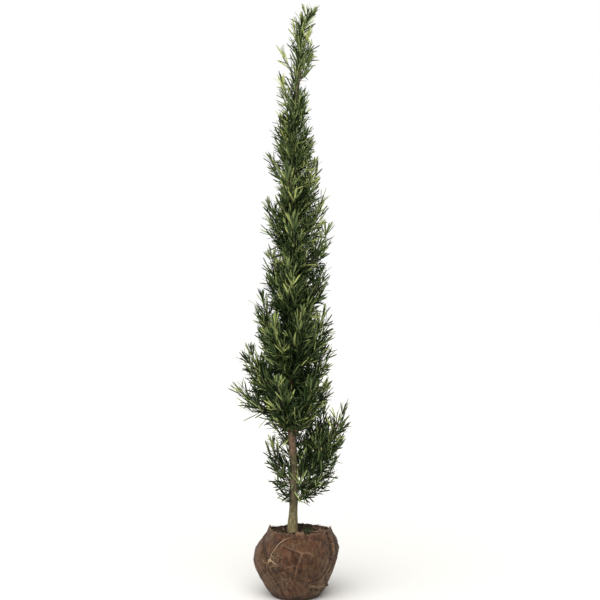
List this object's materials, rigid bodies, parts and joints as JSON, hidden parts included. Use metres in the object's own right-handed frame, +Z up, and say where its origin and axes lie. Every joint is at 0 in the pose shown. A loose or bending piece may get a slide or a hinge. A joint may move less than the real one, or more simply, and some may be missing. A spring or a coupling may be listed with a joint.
{
  "type": "sapling with root ball",
  "caption": "Narrow upright evergreen sapling: ascending tufts of strap-like leaves on one slender trunk, standing on its soil root ball wrapped in sacking and tied with twine",
  "frame": {"origin": "centre of the flat underside of the root ball", "axes": "+Z up the trunk, -Y the front as pictured, +X the side that the leading shoot nods to"},
  "size_m": [0.3987, 0.2825, 2.014],
  "materials": {
    "bark": "rough, finely fissured, olive-tan at the foot and reddish brown higher up",
    "sacking": "coarse damp jute weave, earth stained",
    "soil": "dark crumbly earth with moss and leaf litter",
    "twine": "twisted two-ply jute, dry",
    "leaf_dark": "leathery, low sheen, dark green",
    "leaf_mid": "leathery, low sheen, mid green",
    "leaf_young": "soft low sheen, yellow green"
  },
  "bodies": {
    "root": {"root_ball_sacking": "sacking", "root_ball_soil": "soil", "root_ball_twine": "twine", "trunk": "bark", "skirt_right_outer": "leaf_dark", "skirt_right_inner": "leaf_dark", "skirt_right_low": "leaf_dark", "skirt_left": "leaf_dark", "skirt_left_low": "leaf_dark", "low_far_left": "leaf_dark", "low_left": "leaf_dark", "low_right": "leaf_dark", "low_right_upper": "leaf_dark", "low_front_left": "leaf_dark", "low_front_right": "leaf_dark", "low_back": "leaf_dark", "middle_left": "leaf_dark", "middle_right": "leaf_dark", "middle_front_left": "leaf_dark", "middle_front_right": "leaf_dark", "middle_back": "leaf_dark", "waist_left": "leaf_dark", "waist_right": "leaf_dark", "waist_front": "leaf_dark", "waist_back": "leaf_dark", "upper_left": "leaf_mid", "upper_right": "leaf_mid", "upper_right_high": "leaf_mid", "upper_front": "leaf_mid", "shoulder_left": "leaf_mid", "shoulder_right": "leaf_mid", "shoulder_front": "leaf_mid", "shoulder_back": "leaf_mid", "neck_left": "leaf_mid", "neck_right": "leaf_mid", "spire_right": "leaf_young", "spire_left": "leaf_young", "tip_right_low": "leaf_young", "tip_right": "leaf_young", "tip_left": "leaf_young", "tip_left_high": "leaf_young", "leading_shoot": "leaf_young", "second_shoot": "leaf_young", "bough_skirt_right": "bark", "bough_skirt_left": "bark", "bough_low_left": "bark", "bough_low_right": "bark"}
  },
  "joints": []
}
